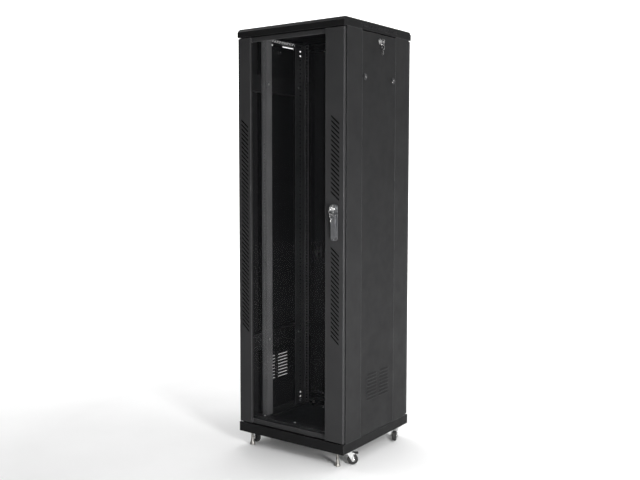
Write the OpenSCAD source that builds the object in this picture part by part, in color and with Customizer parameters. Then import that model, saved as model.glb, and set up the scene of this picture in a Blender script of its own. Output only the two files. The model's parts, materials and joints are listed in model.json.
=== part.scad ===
// Free-standing 19-inch network rack cabinet, with a glass front door, a steel rear door,
// lift-off side panels, four mounting rails, castors and levelling feet.
// Millimetres. Origin on the floor under the middle of the case, +Z up, front at -Y.

/* [Case] */
// Usable height in rack units
rack_units = 42; // [36:1:42]
// Width of the case
case_w = 600; // [600:10:700]
// Depth of the case
case_d = 600; // [600:10:800]
// Height of the case above the floor
foot_h = 68; // [68:1:72]
// Height of the base ring
base_h = 45; // [45:1:60]
// Height of the roof rim
roof_h = 40; // [40:1:50]
// Bevel along the front and rear edges of the roof
roof_bevel = 15; // [8:1:18]
// Thickness of the folded sheet steel
sheet = 1.5; // [1.2:0.1:1.5]

/* [Doors] */
// Thickness of a door
door_t = 14; // [14:0.5:14.5]
// Gap above and below a door
door_gap = 5.5; // [4:0.5:7]
// Width of the hinge-side stile of the front door
hinge_stile_w = 72; // [68:1:90]
// Width of the handle-side stile of the front door
lock_stile_w = 96; // [92:1:110]
// Thickness of the door glass
glass_t = 3.5; // [3:0.5:3.5]
// Width of the column of slanted vents on a stile
vent_w = 43; // [30:1:46]
// Drop of a slanted vent from its left end to its right end
vent_drop = 38; // [20:1:40]
// Height of the opening of a slanted vent
vent_open = 9; // [5:0.5:10]
// Number of vents in a full column
vent_count = 48; // [45:1:48]

/* [Side panels] */
// Width of a lift-off side panel
panel_w = 301; // [290:1:320]
// Louvres in one column of a side panel
louvre_count = 8; // [4:1:10]
// Sideways travel of a panel latch
latch_travel = 8; // [6:1:8]

/* [Rails] */
// Distance from the case front to the face of the front rails
rail_setback = 121; // [115:1:140]
// Depth of the side flange of a rail
rail_depth = 80; // [60:1:90]

/* [Castors and feet] */
// Radius of a castor wheel
wheel_r = 24; // [22:1:24]
// Distance from a swivel axis to the wheel axle
trail = 21; // [18:1:21]
// Radius of a levelling foot pad
pad_r = 13; // [10:1:14]

/* [Hidden] */
$fn = 48;

// Colours
black = "#2b2b2d";
zinc = "#b9bcc0";
grey = "#8e9196";
rubber = "#161616";
smoke = [0.1, 0.12, 0.14, 0.5];

// Rack standard: one unit is 44.45, with three square holes to the unit
unit = 44.45;
hole_side = 9.5;
hole_column = 232.55;
hole_steps = [6.35, 22.225, 38.1];

// Case
hw = case_w / 2;
hd = case_d / 2;
deck_z = foot_h + base_h;
rail_len = rack_units * unit + 3.1;
eave_z = deck_z + rail_len - 13;
top_z = eave_z + roof_h;
skin_y = hd - 21;
running = 0.05;

// Doors
door_face = hd - 2;
door_back = door_face - door_t;
door_hw = hw - 3.5;
door_z0 = deck_z + door_gap;
door_z1 = eave_z - door_gap;
hinge_x = hw - 10.5;
hinge_y = hd - 10;
hinge_r = 4;
window_x0 = -door_hw + hinge_stile_w;
window_x1 = door_hw - lock_stile_w;
glass_lap = 14;
glass_y = -door_back - glass_t;
vent_pitch = 20.8;
vent_z0 = deck_z + 450;
vent_skip = [21, 31];

// Front handle
handle_x = 249;
handle_w = 35;
handle_h = 163;
handle_corner = 12;
handle_z0 = 1032;
lever_z = handle_z0 + 114;
lever_y = -door_face - 9;
lever_half = 4.8;
lock_z = handle_z0 + 143;
lock_face = -door_face - 15;
spindle_r = 7;
barrel_r = 8;

// Keys: a blade, a round bow and a ring
bow_r = 10;
bow_hole_r = 3;
key_reach = 23;
ring_r = 11;
ring_wire = 0.9;
ring_drop = ring_r + bow_hole_r - ring_wire - 0.4;

// Side panels
panel_hw = panel_w / 2;
panel_z0 = deck_z + 2;
panel_z1 = eave_z - 7;
panel_gap = 1.5;
ledge_x = hw - 16;
latch_y = 127;
latch_z = eave_z - 208;
panel_lock_z = eave_z - 38.5;
louvre_z0 = deck_z + 160;
louvre_pitch = 16.5;

// Rails and braces
rail_x = 251;
rail_t = 2;
rail_face = hd - rail_setback;
brace_h = 80;
brace_z = [deck_z + 345, eave_z - 247];
screw_y = rail_face - 55;
rear_lock_x = -236;
rear_lock_z = foot_h + 840;
notch_down = 33;
notch_up = 13;

// Castors, feet and floor anchors
anchor_x = 190;
anchor_r = 5;
pin_x = 276;
pin_y = hd - 81;
pin_r = 5;
foot_x = 248;
foot_y = hd - 35;
stud_r = 6;
axle_r = 4;
wheel_z = wheel_r + 1.2;
pedal_x = 26;
pedal_z = foot_h - 14;
pedal_reach = 46;
castor_turn = [[-12, 37], [-120, -70]];

// A box from its lowest corner to its highest
module box(lo, hi) { translate(lo) cube(hi - lo); }

// Copies its children to the other side or the other end
module side(s) { if (s > 0) children(); else mirror([1, 0, 0]) children(); }
module end(s) { if (s > 0) children(); else mirror([0, 1, 0]) children(); }

// Round bar along X, Y or Z, from a start point
module bar_x(p, r, l) { translate(p) rotate([0, 90, 0]) cylinder(r = r, h = l); }
module bar_y(p, r, l) { translate(p) rotate([-90, 0, 0]) cylinder(r = r, h = l); }
module bar_z(p, r, l) { translate(p) cylinder(r = r, h = l); }

// Flat outline in X and Z, given thickness along Y from y
module upright(y, t) { translate([0, y + t, 0]) rotate([90, 0, 0]) linear_extrude(t) children(); }

// Slanted vent with its left end at the origin
module slant(w, drop, open) { polygon([[0, 0], [w, -drop], [w, open - drop], [0, open]]); }

// Base ring: a skirt, a bottom plate with a cable entry and a deck around the bay
module base_frame() color(black) difference() {
    union() {
        difference() {
            box([-hw, -hd, foot_h], [hw, hd, deck_z]);
            box([-hw + sheet, -hd + sheet, foot_h + sheet], [hw - sheet, hd - sheet, deck_z - sheet]);
        }
        for (x = [-foot_x, foot_x], y = [-foot_y, foot_y]) bar_z([x, y, foot_h + sheet / 2], 11, 16);
    }
    box([-225, -hd + 60, deck_z - 5], [225, hd - 60, deck_z + 1]);
    box([-160, -hd + 80, foot_h - 1], [160, -hd + 170, foot_h + 5]);
    for (x = [-foot_x, foot_x], y = [-foot_y, foot_y])
        bar_z([x, y, foot_h - 1], stud_r + running, 20);
    for (x = [-anchor_x, anchor_x], y = [-hd + 30, hd - 30]) bar_z([x, y, foot_h - 1], anchor_r, 4);
}

// Solid form of the roof, shrunk by a wall
module roof_form(wall, low) {
    end_b = roof_bevel;
    side_b = 4;
    w = hw - wall;
    d = hd - wall;
    h = top_z - wall;
    k = wall * (1 - tan(22.5));
    intersection() {
        translate([-hw, 0, 0]) rotate([90, 0, 90]) linear_extrude(case_w) polygon([[-d, low],
            [-d, h - end_b + k], [-d + end_b - k, h], [d - end_b + k, h], [d, h - end_b + k], [d, low]]);
        upright(-hd, case_d) polygon([[-w, low], [-w, h - side_b + k], [-w + side_b - k, h],
            [w - side_b + k, h], [w, h - side_b + k], [w, low]]);
    }
}

// Roof: a bevelled pan with side vents, two fan grilles and a cable entry
module roof_cover() color(black) difference() {
    union() {
        difference() {
            roof_form(0, eave_z);
            roof_form(sheet, eave_z - 1);
        }
        for (s = [-1, 1]) side(s) {
            box([256, -hd + 1, eave_z], [hw - 1, hd - 1, eave_z + sheet]);
            box([ledge_x + 2, -40, eave_z - 15], [ledge_x + 2 + sheet, 40, eave_z + sheet]);
        }
    }
    for (s = [-1, 1], i = [0:22]) side(s)
        translate([hw - 3, -158 + 14 * i, eave_z + 23]) rotate([90, 0, 90]) linear_extrude(6)
            slant(12, 15, 5);
    for (y = [-105, 75]) translate([0, y, 0]) {
        for (i = [-4:4]) box([-52, 11 * i - 2.5, top_z - 4], [52, 11 * i + 2.5, top_z + 1]);
        for (x = [-52.5, 52.5], v = [-52.5, 52.5]) bar_z([x, v, top_z - 4], 2.2, 6);
    }
    box([-110, hd - 110, top_z - 4], [110, hd - 50, top_z + 1]);
}

// Corner post of folded sheet, standing on the deck under the roof rim. The rear left one is
// notched for the cam of the rear lock, and slotted near both ends
module post(sx, sy) side(sx) end(sy) color(black) translate([0, 0, deck_z])
    linear_extrude(eave_z - deck_z) union() {
        translate([hw - sheet, panel_hw + panel_gap]) square([sheet, skin_y - panel_hw - panel_gap]);
        translate([hw - 48, skin_y - sheet]) square([48, sheet]);
        translate([hw - 48, skin_y - 34]) square([sheet, 34]);
        translate([ledge_x, panel_hw + panel_gap]) square([16, sheet]);
        translate([ledge_x, panel_hw + panel_gap - 16]) square([sheet, 16 + sheet]);
    }
module post_front_left() post(-1, -1);
module post_front_right() post(1, -1);
module post_rear_right() post(1, 1);
module post_rear_left() difference() {
    post(-1, 1);
    color(black)
        box([-hw + 40, skin_y - 14, rear_lock_z - notch_down],
            [-hw + 50, skin_y - sheet, rear_lock_z + notch_up]);
    for (z = [deck_z + 4, deck_z + 25, eave_z - 44, eave_z - 23])
        color(black) box([-hw - 1, skin_y - 80, z], [-hw + 5, skin_y - 60, z + 17]);
}

// Channel across the case, open away from the door
module cross_beam(sy, z) end(sy) color(black) translate([-hw + 48, 0, z]) rotate([90, 0, 90])
    linear_extrude(case_w - 96) difference() {
        translate([skin_y - 38, 0]) square([38, 38]);
        translate([skin_y - 39, sheet]) square([39 - sheet, 38 - 2 * sheet]);
    }
module top_beam_front() cross_beam(-1, eave_z - 12);
module top_beam_rear() cross_beam(1, eave_z - 12);
module bottom_beam_front() cross_beam(-1, deck_z);
module bottom_beam_rear() cross_beam(1, deck_z);

// Channel along the case, from post to post, that carries two rails
module brace(sx, z) side(sx) color(black) difference() {
    translate([0, skin_y - 35, z]) rotate([90, 0, 0]) linear_extrude(2 * skin_y - 70) difference() {
        translate([rail_x, 0]) square([ledge_x - rail_x - 0.1, brace_h]);
        translate([rail_x + sheet, sheet]) square([ledge_x - rail_x, brace_h - 2 * sheet]);
    }
    for (s = [-1, 1]) end(s) bar_x([rail_x - 1, screw_y, z + brace_h / 2], 3.2, 4);
}
module brace_upper_left() brace(-1, brace_z[1]);
module brace_upper_right() brace(1, brace_z[1]);
module brace_lower_left() brace(-1, brace_z[0]);
module brace_lower_right() brace(1, brace_z[0]);

// Mounting rail: a face with three square holes to the unit and a side flange with slots
module rail(sx, sy) side(sx) end(sy) color(black) difference() {
    union() {
        upright(rail_face - rail_t, rail_t) difference() {
            translate([rail_x - 30, deck_z]) square([30, rail_len]);
            for (u = [0:rack_units - 1], h = hole_steps)
                translate([hole_column - hole_side / 2, deck_z + 1.55 + u * unit + h - hole_side / 2])
                    square(hole_side);
        }
        translate([rail_x - rail_t, 0, 0]) rotate([90, 0, 90]) linear_extrude(rail_t) difference() {
            translate([rail_face - rail_depth, deck_z]) square([rail_depth, rail_len]);
            for (u = [0:rack_units - 1], v = [8, 30])
                translate([rail_face - 42, deck_z + 1.55 + u * unit + v]) square([14, 7]);
        }
    }
    for (z = brace_z) bar_x([rail_x - 3, screw_y, z + brace_h / 2], 3.2, 4);
}
module rail_front_left() rail(-1, -1);
module rail_front_right() rail(1, -1);
module rail_rear_left() rail(-1, 1);
module rail_rear_right() rail(1, 1);

// Pan-head screws that fix the rails to the braces
module frame_screws() color(zinc)
    for (sx = [-1, 1], sy = [-1, 1], z = brace_z) side(sx) end(sy)
        translate([rail_x - rail_t, screw_y, z + brace_h / 2]) {
            bar_x([-3, 0, 0], 5.5, 3);
            bar_x([-0.5, 0, 0], 3, 8);
        }

// Hinge pins of both doors, fixed in the base and the roof
module hinge_pins() color(zinc) for (s = [-1, 1]) {
    bar_z([s * hinge_x, s * hinge_y, deck_z], hinge_r, 22);
    bar_z([s * hinge_x, s * hinge_y, eave_z - 22], hinge_r, 22);
}

// Swivel plates with their kingpins, under the base
module castor_plates() color(zinc) for (x = [-pin_x, pin_x], y = [-pin_y, pin_y]) translate([x, y, 0]) {
    box([-24, -30, foot_h - 2.5], [24, 30, foot_h]);
    bar_z([0, 0, foot_h - 8], 15, 6);
    bar_z([0, 0, foot_h - 16], pin_r, 10);
    bar_z([0, 0, foot_h - 16], 8, 3.2);
}

// Solid block with a bore for a hinge pin, inside the corner of a door
module hinge_block(z) difference() {
    box([-door_hw + 0.5, -door_face + 0.5, z], [-door_hw + 14, -door_back, z + 26]);
    bar_z([-hinge_x, -hinge_y, z - 1], hinge_r + running, 28);
}

// Centres of the vent columns on the two stiles
function vent_left() = -door_hw + 15;
function vent_right() = door_hw - 23.5 - vent_w;

// Front door: two vented stiles joined by slim rails behind the glass line
module front_door_frame() color(black) {
    difference() {
        union() {
            upright(-door_face, sheet) difference() {
                for (r = [[-door_hw, hinge_stile_w], [window_x1, lock_stile_w]])
                    translate([r[0], door_z0]) square([r[1], door_z1 - door_z0]);
                for (i = [0:vent_count - 1])
                    translate([vent_left(), vent_z0 + vent_drop + vent_pitch * i])
                        slant(vent_w, vent_drop, vent_open);
                for (i = [0:vent_count - 1]) if (i < vent_skip[0] - 1 || i >= vent_skip[1])
                    translate([vent_right(), vent_z0 + vent_drop + vent_pitch * i])
                        slant(vent_w, vent_drop, vent_open);
            }
            for (x = [-door_hw, door_hw - sheet])
                box([x, -door_face, door_z0], [x + sheet, -door_back, door_z1]);
            for (x = [window_x0 - sheet, window_x1])
                box([x, -door_face, door_z0], [x + sheet, glass_y, door_z1]);
            for (z = [door_z0, door_z1 - sheet], r = [[-door_hw, hinge_stile_w], [window_x1, lock_stile_w]])
                box([r[0], -door_face, z], [r[0] + r[1], -door_back, z + sheet]);
            for (z = [door_z0, door_z1 - 20])
                box([window_x0 - glass_lap, glass_y, z], [window_x1 + glass_lap, -door_back, z + 20]);
        }
        bar_z([-hinge_x, -hinge_y, door_z0 - 1], hinge_r + running, 5);
        bar_z([-hinge_x, -hinge_y, door_z1 - 4], hinge_r + running, 5);
        bar_y([handle_x, -door_face - 1, lever_z], spindle_r + 1.5, 4);
        bar_y([handle_x, -door_face - 1, lock_z], barrel_r + 1.5, 4);
    }
    hinge_block(door_z0);
    hinge_block(door_z1 - 26);
}

// Pane bonded behind the stiles, between the two slim rails
module front_door_glass() color(smoke)
    box([window_x0 - glass_lap, glass_y, door_z0 + 20], [window_x1 + glass_lap, -door_back, door_z1 - 20]);

// Housing of the swing handle, with a raised head around the lock
module front_handle_housing() color(grey) translate([handle_x, 0, 0]) difference() {
    union() {
        upright(-door_face - 3.5, 3.5) union() {
            translate([-handle_w / 2, handle_z0 + handle_corner])
                square([handle_w, handle_h - 2 * handle_corner]);
            translate([-handle_w / 2 + handle_corner, handle_z0])
                square([handle_w - 2 * handle_corner, handle_h]);
            for (x = [-1, 1], z = [handle_corner, handle_h - handle_corner])
                translate([x * (handle_w / 2 - handle_corner), handle_z0 + z]) circle(r = handle_corner);
        }
        upright(-door_face - 14, 14) union() {
            translate([-15, handle_z0 + 129]) square([30, 26]);
            translate([-10, handle_z0 + 129]) square([20, 31]);
            for (x = [-10, 10]) translate([x, handle_z0 + 155]) circle(r = 5);
        }
    }
    bar_y([0, -door_face - 5, lever_z], spindle_r + running, 10);
    bar_y([0, -door_face - 20, lock_z], barrel_r + running, 30);
    bar_y([0, -door_face - 5, handle_z0 + 14], 13, 3.5);
}

// Lever that lifts about a cross pin and then swings the spindle
module front_handle_lever() color(grey) translate([handle_x, 0, 0]) difference() {
    intersection() {
        translate([-12, 0, 0]) rotate([90, 0, 90]) linear_extrude(24)
            polygon(concat([[lever_y - 1, handle_z0 + 8], [lever_y + lever_half, handle_z0 + 8]],
                [for (a = [0:15:180]) [lever_y + lever_half * cos(a), lever_z + lever_half * sin(a)]]));
        upright(lever_y - 10, 20) union() {
            translate([-12, handle_z0 + 20]) square([24, 110]);
            translate([0, handle_z0 + 20]) circle(r = 12);
        }
    }
    box([-4.4, lever_y - 10, lever_z - 8], [4.4, lever_y + 10, lever_z + 10]);
    bar_x([-13, lever_y, lever_z], 2.5 + running, 26);
}

// Spindle with the lever's cross pin outside and the cam inside the door
module front_handle_spindle() color(zinc) translate([handle_x, 0, 0]) {
    bar_y([0, -door_face - 3.9, lever_z], spindle_r, 15);
    box([-4, lever_y - 3.5, lever_z - 3.5], [4, -door_face - 3, lever_z + 3.5]);
    bar_x([-11.5, lever_y, lever_z], 2.5, 23);
    upright(-door_face + 8, 3) union() {
        translate([0, lever_z]) circle(r = 10);
        translate([-8, lever_z]) square([16, 32]);
    }
}

// Hook on the front post that the cam turns behind
module front_keeper() color(zinc) {
    box([hw - 42, -skin_y - 2, lever_z - 14], [hw - 15, -skin_y, lever_z + 14]);
    box([hw - 17, -door_face + 3.5, lever_z - 12], [hw - 15, -skin_y, lever_z + 12]);
    box([hw - 32, -door_face + 3.5, lever_z - 12], [hw - 15, -door_face + 5.5, lever_z + 12]);
}

// Lock barrel with a key slot, along +X from the face at the origin and back inside by depth
module barrel(r, depth) difference() {
    bar_x([-depth, 0, 0], r, depth);
    box([-12, -1.1, -3.4], [1, 1.1, 3.4]);
}

// Key in the XZ plane, pointing along -X, with its shoulder at the origin
module key() difference() {
    union() {
        box([-10, -0.9, -3.1], [4, 0.9, 3.1]);
        bar_y([key_reach - bow_r, -1.2, 0], bow_r, 2.4);
    }
    bar_y([key_reach - bow_r, -2, 0], bow_hole_r, 4);
}

// Ring through the bow hole of the key, hanging below it
module key_ring() translate([key_reach - bow_r, 0, -ring_drop]) rotate([0, 90, 0])
    rotate_extrude() translate([ring_r, 0]) circle(r = ring_wire);

// Spare key hanging from the ring, with its blade downwards
module spare_key() translate([key_reach - bow_r, 0, -ring_drop - ring_r + ring_wire + 0.4 - bow_hole_r])
    difference() {
        union() {
            bar_y([0, -1.2, -4], bow_r, 2.4);
            box([-3.1, -0.9, -34], [3.1, 0.9, -10]);
            box([3, -0.9, -31], [4.2, 0.9, -26]);
        }
        bar_y([0, -2, 0], bow_hole_r, 4);
    }

// Puts a lock's parts, drawn along +X, in place on a face
module at_front() translate([handle_x, lock_face, lock_z]) rotate([0, 0, -90]) children();
module at_rear() translate([rear_lock_x, -lock_face, rear_lock_z]) rotate([0, 0, 90]) children();
module at_panel(s) side(s) translate([hw + 2.7, 0, panel_lock_z]) children();

module front_lock_barrel() color(zinc) at_front() barrel(barrel_r, 20);
module front_key() color(zinc) at_front() key();
module front_key_ring() color(zinc) at_front() key_ring();
module front_spare_key() color(zinc) at_front() spare_key();

// Rear door: a folded pan with two stiffeners
module rear_door() color(black) rotate([0, 0, 180]) {
    difference() {
        box([-door_hw, -door_face, door_z0], [door_hw, -door_back, door_z1]);
        box([-door_hw + sheet, -door_face + sheet, door_z0 + sheet],
            [door_hw - sheet, -door_back + 1, door_z1 - sheet]);
        bar_z([-hinge_x, -hinge_y, door_z0 - 1], hinge_r + running, 5);
        bar_z([-hinge_x, -hinge_y, door_z1 - 4], hinge_r + running, 5);
        bar_y([-rear_lock_x, -door_face - 1, rear_lock_z], 9 + running, 4);
    }
    for (x = [-120, 90]) difference() {
        box([x, -door_face + 0.5, door_z0 + 0.5], [x + 30, -door_back, door_z1 - 0.5]);
        box([x + sheet, -door_face - 1, door_z0 + 1], [x + 30 - sheet, -door_back - sheet, door_z1 - 1]);
    }
    hinge_block(door_z0);
    hinge_block(door_z1 - 26);
}

// Rear lock: a knob with a key slot, a barrel and a cam
module rear_lock() color(zinc) at_rear() difference() {
    union() {
        bar_x([-14.6, 0, 0], 14, 14.6);
        bar_x([-41, 0, 0], 9, 41);
        translate([-41, 0, 0]) box([0, -8, -32], [3, 8, 9]);
    }
    box([-12, -1.1, -3.4], [1, 1.1, 3.4]);
}
module rear_key() color(zinc) at_rear() key();

// Side panel: a folded pan with two columns of louvres and holes for its lock and latches
module side_panel(s) side(s) color(black) difference() {
    union() {
        difference() {
            box([hw - 12, -panel_hw, panel_z0], [hw, panel_hw, panel_z1]);
            box([hw - 13, -panel_hw + sheet, panel_z0 + sheet],
                [hw - sheet, panel_hw - sheet, panel_z1 - sheet]);
            for (y = [-latch_y, latch_y]) panel_slot(y);
            bar_x([hw - 5, 0, panel_lock_z], 9 + running, 10);
        }
        for (y = [-96, 12], i = [0:louvre_count - 1])
            translate([hw - 0.5, y + 84, louvre_z0 + louvre_pitch * i]) rotate([90, 0, 0])
                linear_extrude(84) polygon([[0, 0], [4, 0], [4, 2], [0, 12]]);
    }
    for (y = [-96, 12], i = [0:louvre_count - 1])
        translate([hw - 3, y + 82.5, louvre_z0 + louvre_pitch * i]) rotate([90, 0, 0])
            linear_extrude(81) polygon([[0, -1], [5.8, -1], [5.8, 1.4], [3, 8], [0, 8]]);
}
module panel_slot(y) {
    l = 13 + latch_travel;
    y0 = y > 0 ? y - 6.5 : y + 6.5 - l;
    box([hw - 5, y0, latch_z - 5.5], [hw + 1, y0 + l, latch_z + 5.5]);
}
module side_panel_left() side_panel(-1);
module side_panel_right() side_panel(1);

// Slide latch: a round thumb button outside and a bolt that goes behind the post's ledge
module latch(sx, sy) side(sx) end(sy) color(zinc) translate([hw, latch_y, latch_z]) {
    bar_x([0.3, 0, 0], 15, 1.6);
    difference() {
        bar_x([0.3, 0, 0], 11, 3.2);
        bar_x([2.5, 0, 0], 8, 3);
    }
    box([-10, -6, -5], [0.5, 6, 5]);
    box([-10, -6, -8], [-sheet - 0.3, 6, 8]);
    box([-20, -7, -8], [-9, -1, 8]);
    box([-20, -7, -8], [-16.6, 7, 8]);
}
module latch_left_front() latch(-1, -1);
module latch_left_rear() latch(-1, 1);
module latch_right_front() latch(1, -1);
module latch_right_rear() latch(1, 1);

// Panel lock: a flanged barrel with a cam that turns up behind the roof's lip
module panel_lock(s) color(zinc) at_panel(s) difference() {
    union() {
        bar_x([-2.4, 0, 0], 12, 2.4);
        bar_x([-21.7, 0, 0], 9, 20);
        box([-21.7, -7, -7], [-18.7, 28, 7]);
    }
    box([-12, -1.1, -3.4], [1, 1.1, 3.4]);
}
module panel_lock_left() panel_lock(-1);
module panel_lock_right() panel_lock(1);
module panel_key_left() color(zinc) at_panel(-1) key();
module panel_key_right() color(zinc) at_panel(1) key();
module panel_key_ring() color(zinc) at_panel(1) key_ring();
module panel_spare_key() color(zinc) at_panel(1) spare_key();

// Places a castor's parts: drawn with the trail along +X and the kingpin at the origin
module at_castor(sx, sy)
    translate([sx * pin_x, sy * pin_y, 0]) rotate(castor_turn[(sy + 1) / 2][(sx + 1) / 2]) children();

// Fork: a crown on the kingpin, two cheeks and a riveted axle
module castor_fork(sx, sy) color(zinc) at_castor(sx, sy) difference() {
    union() {
        bar_z([0, 0, foot_h - 12.5], 17, 4);
        box([0, -15, foot_h - 12.5], [16, 15, foot_h - 8.5]);
        for (y = [-15, 12.5]) upright(y, 2.5) union() {
            polygon([[-9, foot_h - 9], [20, foot_h - 9], [trail + 8, wheel_z], [trail - 8, wheel_z]]);
            translate([trail, wheel_z]) circle(r = 8);
        }
        bar_y([trail, -17, wheel_z], axle_r, 34);
        bar_y([pedal_x, -15, pedal_z], 2, 30);
        for (y = [-15, 12.5]) box([16, y, pedal_z - 3], [pedal_x + 3, y + 2.5, pedal_z + 3]);
    }
    bar_z([0, 0, foot_h - 20], pin_r + running, 20);
}
module castor_fork_front_left() castor_fork(-1, -1);
module castor_fork_front_right() castor_fork(1, -1);
module castor_fork_rear_left() castor_fork(-1, 1);
module castor_fork_rear_right() castor_fork(1, 1);

// Wheel with a rounded tread and a recessed web on both sides
module castor_wheel(sx, sy) color(rubber) at_castor(sx, sy)
    translate([trail, 0, wheel_z]) rotate([90, 0, 0]) rotate_extrude()
        polygon([[axle_r + running, -10], [8, -10], [9, -7], [17, -7], [18, -9],
            [wheel_r - 2, -9], [wheel_r, -6], [wheel_r, 6],
            [wheel_r - 2, 9], [18, 9], [17, 7], [9, 7], [8, 10], [axle_r + running, 10]]);
module castor_wheel_front_left() castor_wheel(-1, -1);
module castor_wheel_front_right() castor_wheel(1, -1);
module castor_wheel_rear_left() castor_wheel(-1, 1);
module castor_wheel_rear_right() castor_wheel(1, 1);

// Brake pedal: pivots on the fork and presses down towards the wheel
module brake_pedal(sx) color(rubber) at_castor(sx, -1) difference() {
    union() {
        bar_y([pedal_x, -11, pedal_z], 3.8, 22);
        translate([0, 11, 0]) rotate([90, 0, 0]) linear_extrude(22)
            polygon([[pedal_x - 1, pedal_z + 3], [pedal_x + 1, pedal_z - 2.5],
                [pedal_reach, pedal_z], [pedal_reach, pedal_z + 3]]);
    }
    bar_y([pedal_x, -12, pedal_z], 2 + running, 24);
}
module brake_pedal_left() brake_pedal(-1);
module brake_pedal_right() brake_pedal(1);

// Levelling foot: a bell-shaped pad on a threaded stud
module foot(sx, sy) color(zinc) translate([sx * foot_x, sy * foot_y, 0]) rotate_extrude()
    polygon([[0, 0], [pad_r, 0], [pad_r, 4], [pad_r - 3, 8], [8, 11], [8, 16], [stud_r, 16],
        [stud_r, foot_h + 28], [0, foot_h + 28]]);
module foot_front_left() foot(-1, -1);
module foot_front_right() foot(1, -1);
module foot_rear_left() foot(-1, 1);
module foot_rear_right() foot(1, 1);

base_frame();
roof_cover();
post_front_left();
post_front_right();
post_rear_left();
post_rear_right();
top_beam_front();
top_beam_rear();
bottom_beam_front();
bottom_beam_rear();
brace_upper_left();
brace_upper_right();
brace_lower_left();
brace_lower_right();
rail_front_left();
rail_front_right();
rail_rear_left();
rail_rear_right();
frame_screws();
hinge_pins();
castor_plates();
front_door_frame();
front_door_glass();
front_handle_housing();
front_handle_lever();
front_handle_spindle();
front_lock_barrel();
front_key();
front_key_ring();
front_spare_key();
front_keeper();
rear_door();
rear_lock();
rear_key();
side_panel_left();
side_panel_right();
latch_left_front();
latch_left_rear();
latch_right_front();
latch_right_rear();
panel_lock_left();
panel_lock_right();
panel_key_left();
panel_key_right();
panel_key_ring();
panel_spare_key();
castor_fork_front_left();
castor_fork_front_right();
castor_fork_rear_left();
castor_fork_rear_right();
castor_wheel_front_left();
castor_wheel_front_right();
castor_wheel_rear_left();
castor_wheel_rear_right();
brake_pedal_left();
brake_pedal_right();
foot_front_left();
foot_front_right();
foot_rear_left();
foot_rear_right();
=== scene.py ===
import json
import math
import bmesh
import bpy
from mathutils import Matrix, Vector


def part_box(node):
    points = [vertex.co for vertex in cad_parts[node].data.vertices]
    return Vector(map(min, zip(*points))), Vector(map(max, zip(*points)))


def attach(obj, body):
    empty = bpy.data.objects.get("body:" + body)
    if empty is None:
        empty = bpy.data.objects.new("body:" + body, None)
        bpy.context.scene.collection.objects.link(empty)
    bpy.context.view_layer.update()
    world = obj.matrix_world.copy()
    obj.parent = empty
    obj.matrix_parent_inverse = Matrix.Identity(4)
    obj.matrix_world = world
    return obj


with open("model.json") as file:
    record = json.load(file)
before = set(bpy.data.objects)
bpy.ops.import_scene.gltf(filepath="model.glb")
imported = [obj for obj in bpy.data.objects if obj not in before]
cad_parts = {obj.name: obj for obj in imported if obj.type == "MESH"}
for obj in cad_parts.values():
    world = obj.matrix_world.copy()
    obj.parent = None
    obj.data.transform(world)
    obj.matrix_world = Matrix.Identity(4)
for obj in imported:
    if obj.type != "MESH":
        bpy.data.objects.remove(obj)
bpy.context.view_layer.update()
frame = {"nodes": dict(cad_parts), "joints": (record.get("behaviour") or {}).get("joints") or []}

NODES = frame["nodes"]
SIDES, ENDS = (("left", -1), ("right", 1)), (("front", -1), ("rear", 1))

# ---------------------------------------------------------------- camera
YAW, PITCH, ROLL = (math.radians(a) for a in (37.66, 4.43, -0.19))
CAMERA_AT = (2.247, -3.366, 1.360)
FOCAL_PX, IMAGE_PX, SENSOR_MM = 826.9, 640, 36
LENS_SHIFT = (0.0809, -0.0142)
fwd = Vector((-math.sin(YAW) * math.cos(PITCH), math.cos(YAW) * math.cos(PITCH), -math.sin(PITCH)))
right = Vector((math.cos(YAW), math.sin(YAW), 0))
up = right.cross(fwd)
cam_x = right * math.cos(ROLL) + up * math.sin(ROLL)
cam_y = up * math.cos(ROLL) - right * math.sin(ROLL)
cam = bpy.data.objects.new("camera", bpy.data.cameras.new("camera"))
bpy.context.scene.collection.objects.link(cam)
cam.matrix_world = Matrix.Translation(CAMERA_AT) @ Matrix((cam_x, cam_y, -fwd)).transposed().to_4x4()
cam.data.sensor_width, cam.data.lens = SENSOR_MM, FOCAL_PX * SENSOR_MM / IMAGE_PX
cam.data.shift_x, cam.data.shift_y = LENS_SHIFT
cam.data.clip_start, cam.data.clip_end = 0.05, 100
bpy.context.scene.camera = cam
bpy.context.scene.view_settings.view_transform = "Standard"


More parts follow.
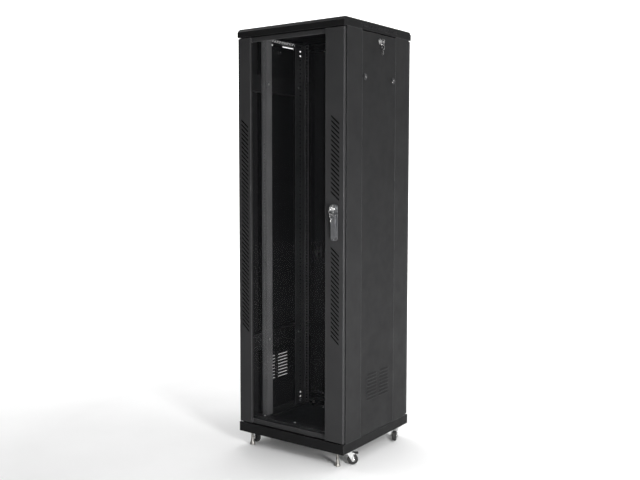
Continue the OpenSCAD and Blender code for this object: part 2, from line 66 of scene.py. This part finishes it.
# ---------------------------------------------------------------- materials
class Tree:
    """A node material on one Principled shader."""

    def __init__(self, name, color, metallic=0.0, rough=0.5, **sockets):
        self.mat = bpy.data.materials.new(name)
        self.mat.use_nodes = True
        self.nt = self.mat.node_tree
        self.sh = self.nt.nodes["Principled BSDF"]
        self.sh.inputs["Base Color"].default_value = (*color, 1)
        self.sh.inputs["Metallic"].default_value = metallic
        self.sh.inputs["Roughness"].default_value = rough
        for key, value in sockets.items():
            self.sh.inputs[key.replace("_", " ")].default_value = value
        self.coord = self.node("ShaderNodeTexCoord").outputs["Object"]

    def node(self, kind, **props):
        n = self.nt.nodes.new(kind)
        for k, v in props.items():
            setattr(n, k, v)
        return n

    def link(self, a, b):
        self.nt.links.new(a, b)

    def noise(self, scale, detail=3.0, stretch=None):
        n = self.node("ShaderNodeTexNoise")
        n.inputs["Scale"].default_value = scale
        n.inputs["Detail"].default_value = detail
        src = self.coord
        if stretch:
            m = self.node("ShaderNodeMapping")
            m.inputs["Scale"].default_value = stretch
            self.link(src, m.inputs["Vector"])
            src = m.outputs["Vector"]
        self.link(src, n.inputs["Vector"])
        return n.outputs["Fac"]

    def map(self, fac, low, high, lo=0.3, hi=0.7):
        n = self.node("ShaderNodeMapRange")
        for k, v in (("From Min", lo), ("From Max", hi), ("To Min", low), ("To Max", high)):
            n.inputs[k].default_value = v
        self.link(fac, n.inputs["Value"])
        return n.outputs["Result"]

    def math(self, operation, *values):
        n = self.node("ShaderNodeMath", operation=operation)
        for sock, v in zip(n.inputs, values):
            if isinstance(v, float):
                sock.default_value = v
            else:
                self.link(v, sock)
        return n.outputs[0]

    def mix(self, fac, a, b):
        n = self.node("ShaderNodeMix", data_type="RGBA")
        self.link(fac, n.inputs[0])
        for sock, v in ((n.inputs[6], a), (n.inputs[7], b)):
            if isinstance(v, tuple):
                sock.default_value = (*v, 1)
            else:
                self.link(v, sock)
        return n.outputs[2]

    def edges(self, radius, gain=3.0):
        """Rounded normal, and a mask that is 1 on sharp edges, where the materials paint a highlight."""
        b = self.node("ShaderNodeBevel", samples=6)
        b.inputs["Radius"].default_value = radius
        dot = self.node("ShaderNodeVectorMath", operation="DOT_PRODUCT")
        self.link(b.outputs["Normal"], dot.inputs[0])
        self.link(self.node("ShaderNodeNewGeometry").outputs["Normal"], dot.inputs[1])
        return b.outputs["Normal"], self.map(dot.outputs["Value"], 1.0, 0.0, 1.0 - 0.3 / gain, 0.995)

    def bump(self, fac, strength, distance, normal=None):
        n = self.node("ShaderNodeBump")
        n.inputs["Strength"].default_value = strength
        n.inputs["Distance"].default_value = distance
        self.link(fac, n.inputs["Height"])
        if normal:
            self.link(normal, n.inputs["Normal"])
        return n.outputs["Normal"]

    def out(self, color=None, rough=None, normal=None):
        for sock, v in (("Base Color", color), ("Roughness", rough), ("Normal", normal)):
            if v is not None:
                self.link(v, self.sh.inputs[sock])
        return self.mat


def paint(name, dark, light, edge, rough, grain=1500, radius=0.0012, level=0.30, no_highlight_band=None):
    """Powder coat: orange-peel grain, faint cloudiness, and a painted highlight on its sharp edges.

    The last argument, a band of |x + offset| given as (offset, middle, half width), is where no edge highlight
    is painted."""
    t = Tree(name, dark, rough=rough, Specular_IOR_Level=level)
    normal, mask = t.edges(radius)
    if no_highlight_band:
        x = t.node("ShaderNodeSeparateXYZ")
        t.link(t.coord, x.inputs["Vector"])
        across = t.math("ABSOLUTE", t.math("ADD", x.outputs["X"], no_highlight_band[0]))
        band = t.math("COMPARE", across, no_highlight_band[1], no_highlight_band[2])
        mask = t.math("MULTIPLY", mask, t.map(band, 1.0, 0.0, 0.0, 1.0))
    body = t.mix(t.map(t.noise(7, 4), 0, 1), dark, light)
    fleck = t.mix(t.map(t.noise(grain, 2), 0, 0.10, 0.55, 0.75), body, edge)
    # sharp edges take the light edge colour: a painted highlight
    return t.out(t.mix(mask, fleck, edge), t.map(t.noise(18, 5), rough - 0.05, rough + 0.06),
                 t.bump(t.noise(grain, 2), 0.10, 0.00012, normal))


def metal(name, a, b, rough, stretch=(1, 1, 1), radius=0.0006, spots=60):
    """Plated or cast metal: clouded colour, fine scratches and dull patches."""
    t = Tree(name, a, metallic=0.92, rough=rough)
    normal, mask = t.edges(radius)
    body = t.mix(t.map(t.noise(spots, 5), 0, 1), a, b)
    # sharp edges are painted lighter than the metal: a painted highlight
    return t.out(t.mix(mask, body, tuple(min(1, 1.15 * c) for c in b)),
                 t.map(t.noise(260, 4, stretch), rough - 0.08, rough + 0.12),
                 t.bump(t.noise(1400, 3, stretch), 0.12, 0.0001, normal))


def moulded(name, a, b, rough, grain=900, level=0.4):
    """Rubber or nylon: fine moulded grain with scuffed patches."""
    t = Tree(name, a, rough=rough, Specular_IOR_Level=level)
    normal, mask = t.edges(0.0008)
    body = t.mix(t.map(t.noise(40, 5), 0, 1, 0.4, 0.75), a, b)
    # sharp edges take the lighter tone: a painted highlight
    return t.out(t.mix(mask, body, b), t.map(t.noise(120, 4), rough - 0.1, min(1, rough + 0.1)),
                 t.bump(t.noise(grain, 3), 0.35, 0.0002, normal))


def pane():
    """Clear tempered glass with a faint smoke tint, thin enough to let light straight through."""
    t = Tree("smoked_glass", (0.020, 0.021, 0.023), rough=0.03, Alpha=0.12, Specular_IOR_Level=0.15)
    return t.out(t.mix(t.map(t.noise(3, 3), 0, 1), (0.016, 0.017, 0.019), (0.024, 0.025, 0.027)))


# where the door's vents are: (offset, middle, half width) of |x + offset|, where paint() leaves out the
# painted edge highlight, see paint()
VENTS = (float(NODES["front_door_frame"].matrix_world.translation.x), 0.2555, 0.0280)
# door, case, panel, inner and rail are one black powder coat given different darkness as painted light and
# shade: the door and the rails are painted lighter, the base and roof (case) painted darker
M = {
    # the door's light edge colour and wide edge radius paint a bright highlight along its edges
    "door": paint("powder_coat_door", (0.0270, 0.0270, 0.0278), (0.0320, 0.0320, 0.0329),
                  (0.150, 0.150, 0.155), 0.42, radius=0.0022, level=0.10, no_highlight_band=VENTS),
    "case": paint("powder_coat_case", (0.0058, 0.0058, 0.0061), (0.0078, 0.0078, 0.0082),
                  (0.055, 0.055, 0.058), 0.46, radius=0.0015, level=0.10),
    "panel": paint("powder_coat_panel", (0.0112, 0.0112, 0.0116), (0.0138, 0.0138, 0.0143),
                   (0.080, 0.080, 0.083), 0.50, grain=1200, level=0.12),
    "inner": paint("powder_coat_frame", (0.0120, 0.0120, 0.0124), (0.0160, 0.0160, 0.0165),
                   (0.100, 0.100, 0.104), 0.46, level=0.12),
    # rails painted far lighter than their black coat: painted light
    "rail": paint("powder_coat_rail", (0.1150, 0.1150, 0.1170), (0.1450, 0.1450, 0.1480),
                  (0.300, 0.300, 0.308), 0.40, grain=1600, radius=0.0008, level=0.2),
    "zinc": metal("zinc_plate", (0.50, 0.51, 0.52), (0.74, 0.74, 0.73), 0.30),
    "chrome": metal("nickel_plate", (0.62, 0.62, 0.62), (0.82, 0.82, 0.81), 0.18, spots=90),
    "grey": metal("handle_grey", (0.150, 0.154, 0.160), (0.200, 0.204, 0.211), 0.40, radius=0.0016),
    "steel": metal("foot_steel", (0.20, 0.194, 0.182), (0.38, 0.368, 0.345), 0.38),
    "rubber": moulded("black_rubber", (0.012, 0.012, 0.012), (0.035, 0.034, 0.033), 0.62),
    "nylon": moulded("black_nylon", (0.014, 0.014, 0.015), (0.030, 0.030, 0.031), 0.42, grain=1500),
    # near-black sheet behind the door vents: a dark sheet standing in for shade
    "vent_shade": moulded("vent_shade_mat", (0.0006, 0.0006, 0.0006), (0.0020, 0.0020, 0.0020), 0.95,
                      grain=500, level=0.02),
    "foam": moulded("seal_foam", (0.006, 0.006, 0.006), (0.014, 0.014, 0.014), 0.9, grain=500, level=0.1),
    "glass": pane(),
    "latch": moulded("latch_nylon", (0.014, 0.014, 0.015), (0.045, 0.045, 0.047), 0.32, grain=1500),
}
# material of each CAD node, by the start of its name
ROLE = {
    "door": ("front_door_frame", "rear_door"),
    "case": ("base_frame", "roof_cover"),
    "panel": ("side_panel",),
    "rail": ("rail_",),
    "glass": ("front_door_glass",),
    "grey": ("front_handle_housing", "front_handle_lever"),
    "chrome": ("front_key", "front_spare", "front_lock", "panel_key", "panel_spare", "panel_lock", "rear_key"),
    "rubber": ("castor_wheel",),
    "nylon": ("brake_pedal",),
    "steel": ("foot_",),
    "zinc": ("frame_screws", "hinge_pins", "castor_plates", "castor_fork", "front_keeper",
             "front_handle_spindle", "rear_lock"),
    "inner": ("post_", "top_beam", "bottom_beam", "brace_"),
    "latch": ("latch_",),
}
for name, ob in NODES.items():
    role = next(r for r, heads in ROLE.items() if name.startswith(heads))
    for material_slot in ob.material_slots:
        material_slot.material = M[role]


# ---------------------------------------------------------------- mesh helpers
SHARP_DEG = 32


def piece(name, bm, body, mat):
    """Visible piece from bm, riding a body, smooth except at its sharp edges."""
    me = bpy.data.meshes.new(name)
    bmesh.ops.recalc_face_normals(bm, faces=bm.faces)
    bm.to_mesh(me)
    bm.free()
    for p in me.polygons:
        p.use_smooth = True
    me.set_sharp_from_angle(angle=math.radians(SHARP_DEG))
    me.materials.append(M[mat])
    ob = bpy.data.objects.new(name, me)
    bpy.context.scene.collection.objects.link(ob)
    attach(ob, body)
    return ob


def block(bm, lo, hi, bevel=0.0006):
    """Box with rounded edges."""
    lo, hi = Vector(lo), Vector(hi)
    new = bmesh.ops.create_cube(bm, size=1)["verts"]
    for v in new:
        v.co = Vector((lo[i] + (v.co[i] + 0.5) * (hi[i] - lo[i]) for i in range(3)))
    bevel = min(bevel, min(hi - lo) * 0.35)
    bmesh.ops.bevel(bm, geom=list({e for v in new for e in v.link_edges}), offset=bevel, segments=2,
                    profile=0.6, affect="EDGES")


def turned(bm, profile, place, steps=40, sides=None):
    """Turned form from (radius, height) pairs, about place's Z. sides gives a nut's flats."""
    n = sides or steps
    closed = profile[0] == profile[-1]
    rings = []
    for r, h in profile:
        rings.append([bm.verts.new(place @ Vector((r * math.cos(2 * math.pi * i / n),
                                                   r * math.sin(2 * math.pi * i / n), h)))
                      for i in range(n)])
    for a, b in zip(rings, rings[1:] + ([rings[0]] if closed else [])):
        for i in range(n):
            bm.faces.new((a[i], a[(i + 1) % n], b[(i + 1) % n], b[i]))
    if not closed:
        bm.faces.new(rings[0])
        bm.faces.new(rings[-1])


def ring(bm, inner, outer, low, high, place, edge=0.0003, steps=40):
    """Flat ring with eased edges."""
    e = min(edge, (high - low) * 0.4, (outer - inner) * 0.4)
    turned(bm, [(inner, low + e), (inner + e, low), (outer - e, low), (outer, low + e), (outer, high - e),
                (outer - e, high), (inner + e, high), (inner, high - e), (inner, low + e)], place, steps)


def facing(at, axis):
    """Placement with its Z along axis."""
    return Matrix.Translation(at) @ Vector(axis).to_track_quat("Z", "Y").to_matrix().to_4x4()


def pan_head(bm, place, r, h, cross=True):
    """Pan-head screw with a cross recess."""
    turned(bm, [(r, 0), (r, 0.35 * h), (0.9 * r, 0.75 * h), (0.62 * r, h), (0.5 * r, h), (0.3 * r, 0.62 * h)],
           place, 28)
    if cross:
        corners = ((-1, -1), (1, -1), (1, 1), (-1, 1))
        for turn in (0, math.pi / 2):
            m = place @ Matrix.Rotation(turn, 4, "Z")
            a = [m @ Vector((i * 0.55 * r, j * 0.09 * r, h * 1.01)) for i, j in corners]
            b = [p + m.to_3x3() @ Vector((0, 0, 0.06 * h)) for p in a]
            va, vb = [bm.verts.new(p) for p in a], [bm.verts.new(p) for p in b]
            bm.faces.new(va)
            bm.faces.new(vb)
            for i in range(4):
                bm.faces.new((va[i], va[(i + 1) % 4], vb[(i + 1) % 4], vb[i]))


def centre(node):
    """Middle of a node's box."""
    lo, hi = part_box(node)
    return (lo + hi) / 2


# ---------------------------------------------------------------- front door
d_lo, d_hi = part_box("front_door_frame")
g_lo, g_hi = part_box("front_door_glass")
k_lo, k_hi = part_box("front_keeper")
back = d_hi.y
SEAL_W, SEAL_T, SEAL_BEVEL = 0.006, 0.0026, 0.0009
SEAL_END = 0.03                 # from a door's corner to the end of its seal strip
SEAL_IN = (0.0175, 0.0225)      # from a door's left and right edge to the seal
bm = bmesh.new()
for x in (d_lo.x + SEAL_IN[0], d_hi.x - SEAL_IN[1]):
    cuts = [d_lo.z + SEAL_END, d_hi.z - SEAL_END]
    if x > 0:
        cuts = [cuts[0], k_lo.z - 0.009, k_hi.z + 0.009, cuts[1]]
    for z0, z1 in zip(cuts[::2], cuts[1::2]):
        block(bm, (x, back, z0), (x + SEAL_W, back + SEAL_T, z1), SEAL_BEVEL)
for z in (d_lo.z + 0.008, d_hi.z - 0.014):
    block(bm, (d_lo.x + SEAL_END, back, z), (d_hi.x - SEAL_END, back + SEAL_T, z + SEAL_W), SEAL_BEVEL)
piece("front_door_seal", bm, "front_door", "foam")

# near-black sheets clipped behind the vents of both stiles, and clear of the handle on the right one: a dark
# sheet standing in for the shade inside the vents
SHADE_SHEET_Z, HANDLE_Z = (0.560, 1.642), (1.012, 1.232)
RIBS = 7                        # clips across one mat
for side, x0, x1, spans in (("left", d_lo.x + 0.010, d_lo.x + 0.063, (SHADE_SHEET_Z,)),
                            ("right", d_hi.x - 0.071, d_hi.x - 0.019,
                             ((SHADE_SHEET_Z[0], HANDLE_Z[0]), (HANDLE_Z[1], SHADE_SHEET_Z[1])))):
    bm = bmesh.new()
    for z0, z1 in spans:
        block(bm, (x0, d_lo.y + 0.0030, z0), (x1, d_lo.y + 0.0046, z1), 0.0005)
        for k in range(1, RIBS + 1):
            z = z0 + (z1 - z0) * k / (RIBS + 1)
            block(bm, (x0 - 0.0002, d_lo.y + 0.0040, z - 0.003),
                  (x1 + 0.0002, d_lo.y + 0.0056, z + 0.003), 0.0004)
    piece("vent_shade_sheet_" + side, bm, "front_door", "vent_shade")

# dark strips along the glass's two long edges
bm = bmesh.new()
for x0, x1 in ((g_lo.x + 0.0135, g_lo.x + 0.0155), (g_hi.x - 0.0155, g_hi.x - 0.0135)):
    block(bm, (x0, g_lo.y - 0.0012, g_lo.z + 0.002), (x1, g_lo.y - 0.0001, g_hi.z - 0.002), 0.0004)
piece("glass_edge_seal", bm, "front_door", "rubber")

# ring of the handle's lock, and the handle's two screws
h_lo, h_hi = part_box("front_handle_housing")
l_mid = centre("front_lock_barrel")
bm = bmesh.new()
ring(bm, 0.0083, 0.0106, 0, 0.0012, facing((l_mid.x, h_lo.y, l_mid.z), (0, -1, 0)), 0.0004)
piece("front_lock_ring", bm, "front_door", "chrome")
bm = bmesh.new()
for z in (h_lo.z + 0.0045, h_hi.z - 0.0042):
    proud = 0.0035 if z < l_mid.z else 0.0135
    pan_head(bm, facing((l_mid.x, d_lo.y - proud, z), (0, -1, 0)), 0.0021, 0.0009, cross=False)
piece("front_handle_screws", bm, "front_door", "zinc")

# ---------------------------------------------------------------- keys with moulded bows
BOW = 0.010                     # from the end of a key to the middle of its bow
for name, body, across in (("front_spare_key", "front_keys", (1, 0, 0)),
                           ("panel_spare_key", "panel_keys", (0, 1, 0))):
    lo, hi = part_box(name)
    mid = (lo + hi) / 2
    at = Vector((mid.x, mid.y, hi.z - BOW))
    if name == "panel_spare_key":
        key_x = centre("panel_key_right").x
        at.x = key_x + (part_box("panel_key_right")[1].x - key_x) - BOW
    else:
        at.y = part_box("front_key")[0].y + BOW
    bm = bmesh.new()
    for side in (-1, 1):
        place = facing(at, Vector(across) * side)
        turned(bm, [(0.0050, 0.0013), (0.0102, 0.0013), (0.0102, 0.0019), (0.0090, 0.0025), (0.0062, 0.0027),
                    (0.0050, 0.0022), (0.0050, 0.0013)], place, 36)
    piece(name + "_grip", bm, body, "nylon")

# ---------------------------------------------------------------- rear door
r_lo, r_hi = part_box("rear_door")
rx, rz = centre("rear_lock").x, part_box("rear_lock")[1].z - 0.014
bm = bmesh.new()
for x in (r_lo.x + SEAL_IN[0], r_hi.x - SEAL_IN[1]):
    block(bm, (x, r_lo.y - SEAL_T, r_lo.z + SEAL_END), (x + SEAL_W, r_lo.y, rz - 0.055), SEAL_BEVEL)
    block(bm, (x, r_lo.y - SEAL_T, rz + 0.045), (x + SEAL_W, r_lo.y, r_hi.z - SEAL_END), SEAL_BEVEL)
piece("rear_door_seal", bm, "rear_door", "foam")
bm = bmesh.new()
for x0, x1 in ((rx - 0.018, rx - 0.0100), (rx + 0.0100, rx + 0.018)):
    block(bm, (x0, r_hi.y - 0.0015 - 0.0020, rz - 0.030), (x1, r_hi.y - 0.0016, rz + 0.030), 0.0005)
for x in (rx - 0.014, rx + 0.014):
    for z in (rz - 0.020, rz + 0.020):
        pan_head(bm, facing((x, r_hi.y - 0.0035, z), (0, -1, 0)), 0.0032, 0.0016)
piece("rear_lock_bracket", bm, "rear_door", "grey")

# ---------------------------------------------------------------- side panels: latch grips
LATCH_Y = 0.127                 # from the middle of a panel to a latch
for side, s in SIDES:
    for end, e in ENDS:
        n = "latch_%s_%s" % (side, end)
        lo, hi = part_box(n)
        x, y, z = (hi.x if s > 0 else lo.x), e * LATCH_Y, (lo.z + hi.z) / 2
        bm = bmesh.new()
        for k in (-1, 0, 1):
            x0, x1 = sorted((x - s * 0.0010, x - s * 0.0002))
            block(bm, (x0, y + k * 0.0042 - 0.0009, z - 0.0060),
                  (x1, y + k * 0.0042 + 0.0009, z + 0.0060), 0.0003)
        piece(n + "_grip", bm, n, "chrome")

# ---------------------------------------------------------------- frame: beam screws
BOLT_X, BOLT_R, BOLT_H = (-0.18, 0.0, 0.18), 0.0055, 0.0030
bm = bmesh.new()
for end, e in ENDS:
    lo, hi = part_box("top_beam_" + end)
    for x in BOLT_X:
        pan_head(bm, facing((x, (lo.y + hi.y) / 2 + e * 0.004, lo.z), (0, 0, -1)), BOLT_R, BOLT_H)
    lo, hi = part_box("bottom_beam_" + end)
    inner = lo.y if e > 0 else hi.y
    for x in BOLT_X:
        pan_head(bm, facing((x, inner + e * 0.012, hi.z), (0, 0, 1)), BOLT_R, BOLT_H)
piece("frame_bolts", bm, "cabinet", "zinc")

# ---------------------------------------------------------------- feet: thread, nut, rim and bell
THREAD_TOP, THREAD_PITCH = 0.0545, 0.0014
for end, e in ENDS:
    for side, s in SIDES:
        n = "foot_%s_%s" % (end, side)
        lo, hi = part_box(n)
        c = (lo + hi) / 2
        at = Matrix.Translation((c.x, c.y, lo.z))
        bm = bmesh.new()
        thread = [(0.0058, 0.0312)]
        z = 0.0315
        while z < THREAD_TOP:
            thread += [(0.00605, z), (0.00640, z + 0.0005), (0.00605, z + 0.0010)]
            z += THREAD_PITCH
        thread.append((0.0058, z))
        turned(bm, thread, at, 28)
        turned(bm, [(0.0100, 0.0553), (0.0109, 0.0560), (0.0109, 0.0618), (0.0100, 0.0625)], at, sides=6)
        piece(n + "_thread", bm, n, "steel")
        bm = bmesh.new()
        ring(bm, 0.0095, 0.0131, 0.0001, 0.0034, at, 0.0008)
        turned(bm, [(0.0128, 0.0036), (0.0124, 0.0060), (0.0104, 0.0120), (0.0082, 0.0210), (0.0068, 0.0310)],
               at, 44)
        piece(n + "_rim", bm, n, "steel")

# ---------------------------------------------------------------- castors: rivets, hubs, treads, races
SPOKES = 6
for j in frame["joints"]:
    if not j["name"].startswith("wheel_spin_"):
        continue
    n = j["name"][len("wheel_spin_"):]
    at, axis = Vector(j["pos_m"]), Vector(j["axis"])
    w_lo, w_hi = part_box("castor_wheel_" + n)
    r = (w_hi.z - w_lo.z) / 2
    bm = bmesh.new()
    for s in (-1, 1):
        place = facing(at, axis * s)
        turned(bm, [(0.0040, 0.0150), (0.0066, 0.0155), (0.0066, 0.0171), (0.0052, 0.0182), (0.0024, 0.0187)],
               place, 28)
    piece("castor_rivet_" + n, bm, "fork_" + n, "chrome")
    bm = bmesh.new()
    ring(bm, 0.0046, 0.0088, -0.0102, 0.0102, facing(at, axis), 0.0006)
    for k in range(SPOKES):
        turn = Matrix.Rotation(k * math.pi / (SPOKES / 2), 4, "Z")
        for s in (-1, 1):
            place = facing(at, axis * s) @ turn
            lo_v, hi_v = Vector((0.0090, -0.0009, 0.0068)), Vector((0.0168, 0.0009, 0.0080))
            vs = [bm.verts.new(place @ Vector((x, y, z))) for z in (lo_v.z, hi_v.z)
                  for x, y in ((lo_v.x, lo_v.y), (hi_v.x, lo_v.y), (hi_v.x, hi_v.y), (lo_v.x, hi_v.y))]
            bm.faces.new(vs[:4])
            bm.faces.new(vs[4:])
            for i in range(4):
                bm.faces.new((vs[i], vs[(i + 1) % 4], vs[4 + (i + 1) % 4], vs[4 + i]))
    piece("castor_hub_" + n, bm, "wheel_" + n, "nylon")
    bm = bmesh.new()
    turned(bm, [(r - 0.0012, -0.0050), (r + 0.0003, -0.0042), (r + 0.0006, 0), (r + 0.0003, 0.0042),
                (r - 0.0012, 0.0050), (r - 0.0012, -0.0050)], facing(at, axis), 64)
    piece("castor_tread_" + n, bm, "wheel_" + n, "rubber")
    pin = next(q for q in frame["joints"] if q["name"] == "castor_swivel_" + n)["pos_m"]
    bm = bmesh.new()
    turned(bm, [(0.0152, 0.0600), (0.0166, 0.0603), (0.0172, 0.0618), (0.0168, 0.0636), (0.0152, 0.0642),
                (0.0152, 0.0600)], Matrix.Translation((pin[0], pin[1], 0)), 44)
    piece("castor_race_" + n, bm, "cabinet", "chrome")

# ---------------------------------------------------------------- studio
# floor that curves up behind the object, square to the main camera
SWEEP_AT, SWEEP_R, FLOOR_HALF = 3.5, 2.2, 11
heading = Vector((fwd.x, fwd.y, 0)).normalized()
fl = bmesh.new()
rows = [(-9, 0), (SWEEP_AT, 0)] + [(SWEEP_AT + SWEEP_R * math.sin(a), SWEEP_R - SWEEP_R * math.cos(a))
                                   for a in (math.radians(9 * i) for i in range(1, 11))] + [(5.7, 7.5)]
grid = []
for dist, z in rows:
    base = heading * dist
    grid.append([fl.verts.new((base.x + right.x * w, base.y + right.y * w, z))
                 for w in (-FLOOR_HALF, FLOOR_HALF)])
for a, b in zip(grid, grid[1:]):
    fl.faces.new((a[0], a[1], b[1], b[0]))
me = bpy.data.meshes.new("floor")
fl.to_mesh(me)
fl.free()
for p in me.polygons:
    p.use_smooth = True
floor = bpy.data.objects.new("floor", me)
bpy.context.scene.collection.objects.link(floor)
t = Tree("studio_floor", (0.88, 0.88, 0.88), rough=0.9, Specular_IOR_Level=0.1)
# the floor glows more with distance from the origin, the same in every direction
GLOW, GLOW_FROM, GLOW_TO = 0.60, 1.4, 4.6
away = t.node("ShaderNodeVectorMath", operation="LENGTH")
t.link(t.coord, away.inputs[0])
t.sh.inputs["Emission Color"].default_value = (1, 1, 1, 1)
t.link(t.map(away.outputs["Value"], 0.0, GLOW, GLOW_FROM, GLOW_TO), t.sh.inputs["Emission Strength"])
me.materials.append(t.out(t.mix(t.map(t.noise(3, 2), 0, 1), (0.87, 0.87, 0.87), (0.89, 0.89, 0.89))))

# world: white to the camera, WORLD_LIGHT to other rays, and nothing to transmission rays
WORLD_LIGHT, WORLD_SEEN = 0.08, 1.0
world = bpy.data.worlds.new("world")
bpy.context.scene.world = world
world.use_nodes = True
wt = world.node_tree
bg = wt.nodes["Background"]
bg.inputs["Color"].default_value = (1, 1, 1, 1)
path = wt.nodes.new("ShaderNodeLightPath")
lit = wt.nodes.new("ShaderNodeMapRange")
lit.inputs["To Min"].default_value, lit.inputs["To Max"].default_value = WORLD_LIGHT, 0.0
wt.links.new(path.outputs["Is Transmission Ray"], lit.inputs["Value"])
level = wt.nodes.new("ShaderNodeMapRange")
level.inputs["To Max"].default_value = WORLD_SEEN
wt.links.new(lit.outputs["Result"], level.inputs["To Min"])
wt.links.new(path.outputs["Is Camera Ray"], level.inputs["Value"])
wt.links.new(level.outputs["Result"], bg.inputs["Strength"])


def area(name, at, aim, size, power):
    """Soft rectangular light, size in metres and power in watts."""
    data = bpy.data.lights.new(name, "AREA")
    data.shape, data.size, data.size_y, data.energy = "RECTANGLE", size[0], size[1], power
    ob = bpy.data.objects.new(name, data)
    bpy.context.scene.collection.objects.link(ob)
    ob.location = at
    ob.rotation_euler = (Vector(aim) - Vector(at)).to_track_quat("-Z", "Y").to_euler()


area("key", (4.4, 0.6, 2.2), (0.3, 0.1, 1.1), (1.6, 3.0), 38)
area("front", (1.80, -1.15, 0.85), (0.3, -0.3, 0.85), (0.4, 1.7), 54)
area("inside", (2.9, -4.4, 1.9), (0, 0, 1.0), (1.0, 2.4), 12)
area("floor_wash", (-1.2, 2.4, 4.6), (-1.2, 2.7, 0), (7.0, 2.6), 190)
area("floor_left", (-2.9, -1.3, 4.2), (-2.4, -0.9, 0), (3.2, 3.2), 70)
area("floor_right", (3.4, 2.2, 4.2), (2.9, 2.4, 0), (3.0, 3.0), 55)
